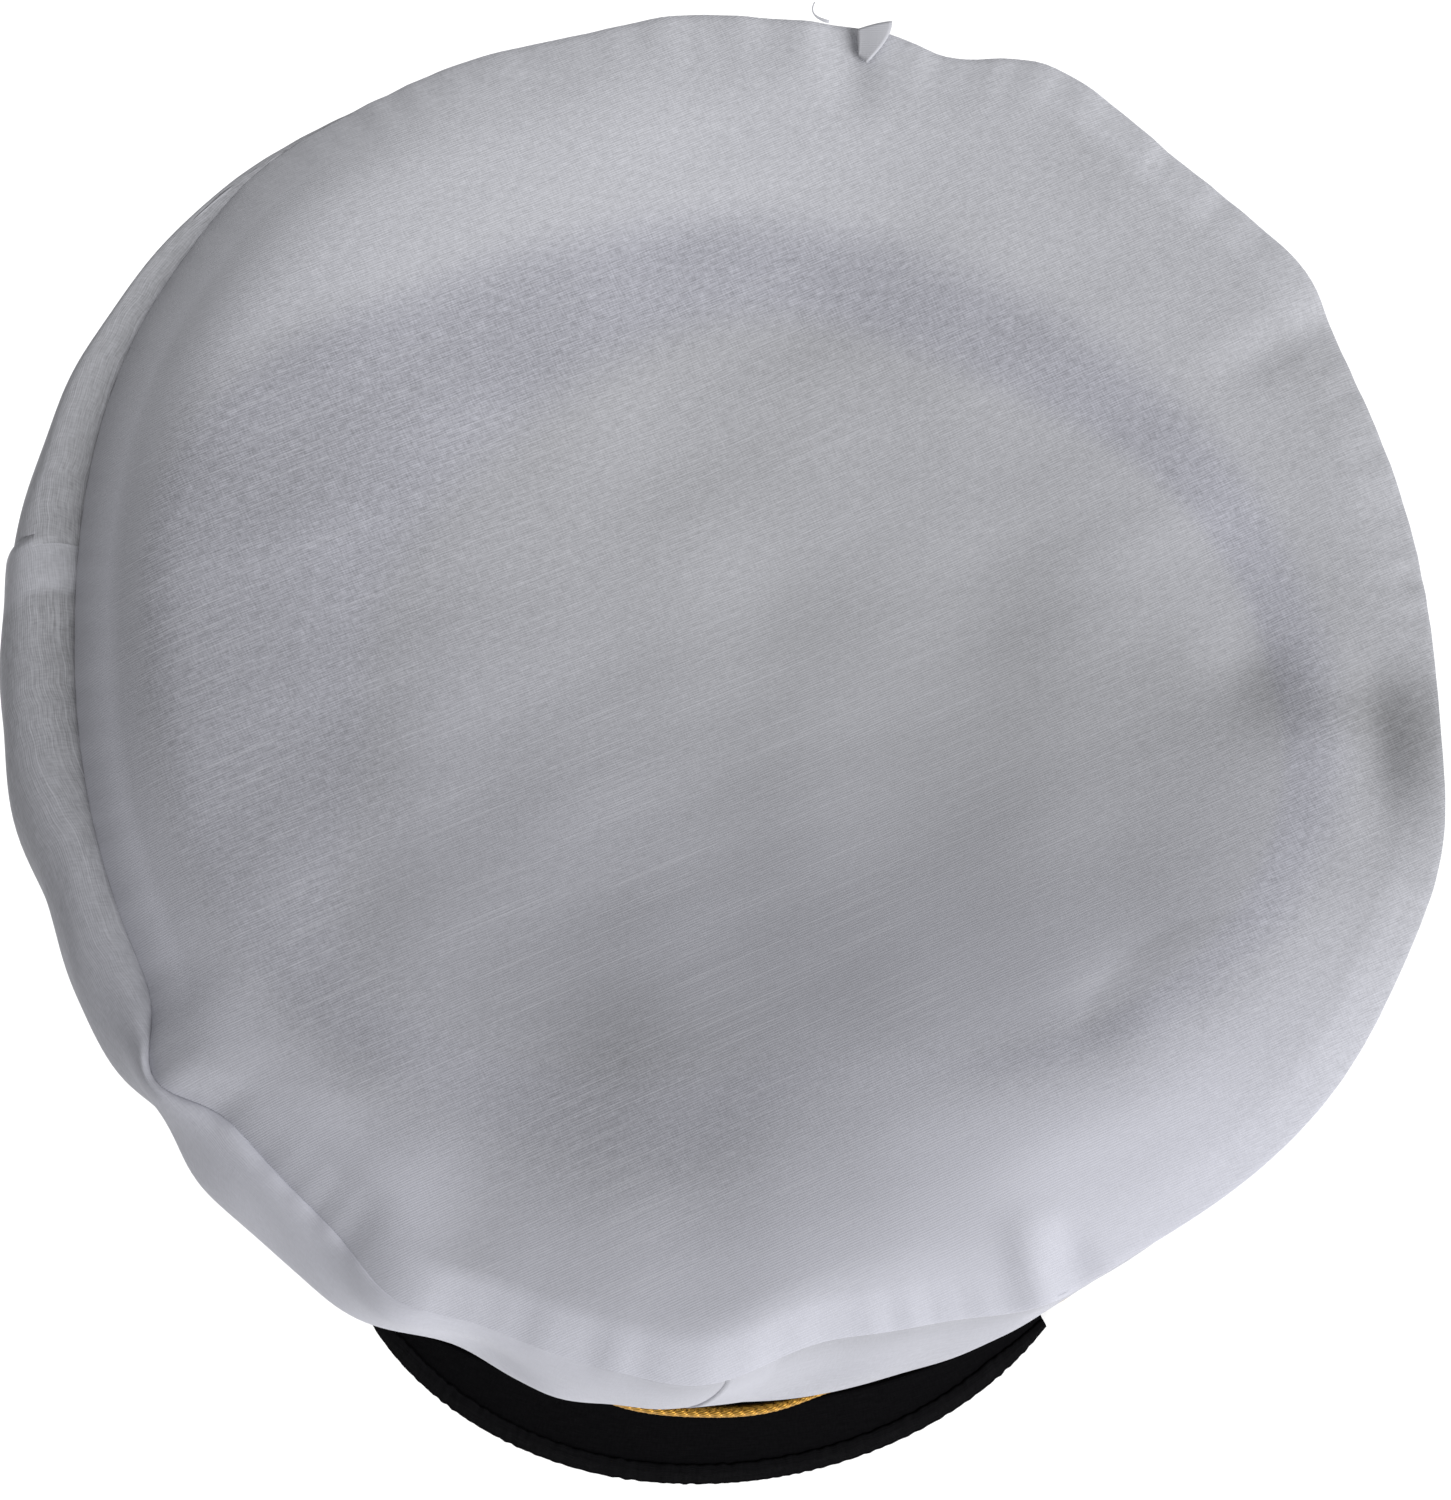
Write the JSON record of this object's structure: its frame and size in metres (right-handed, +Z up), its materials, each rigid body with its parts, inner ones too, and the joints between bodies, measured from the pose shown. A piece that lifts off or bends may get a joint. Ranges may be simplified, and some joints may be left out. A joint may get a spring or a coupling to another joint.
{
  "type": "captain hat",
  "caption": "Soft captain's hat: limp white cloth crown over a black head band, with a bound black peak and a gold braid across the front, resting on its peak and band.",
  "frame": {"origin": "middle of the resting hat's box, on the surface that it stands on", "axes": "+Z up, front of the hat with its peak towards -Y, wearer's left side towards +X"},
  "size_m": [0.239, 0.2538, 0.0989],
  "materials": {
    "crown_cloth": "thin plain-woven white cloth, matt, slightly see-through",
    "band_cloth": "black woven band, matt",
    "peak_cover": "smooth black cover on a stiff board, satin",
    "peak_edge": "black stitched edge strip, satin",
    "braid_thread": "gold metallic braid",
    "button_metal": "plain polished gold dome"
  },
  "bodies": {
    "root": {"crown_top": "crown_cloth", "quarter_front_left": "crown_cloth", "quarter_front_right": "crown_cloth", "quarter_back_left": "crown_cloth", "quarter_back_right": "crown_cloth", "head_band": "band_cloth", "peak": "peak_cover", "peak_binding": "peak_edge", "gold_braid": "braid_thread", "button_left": "button_metal", "button_right": "button_metal"}
  },
  "joints": []
}
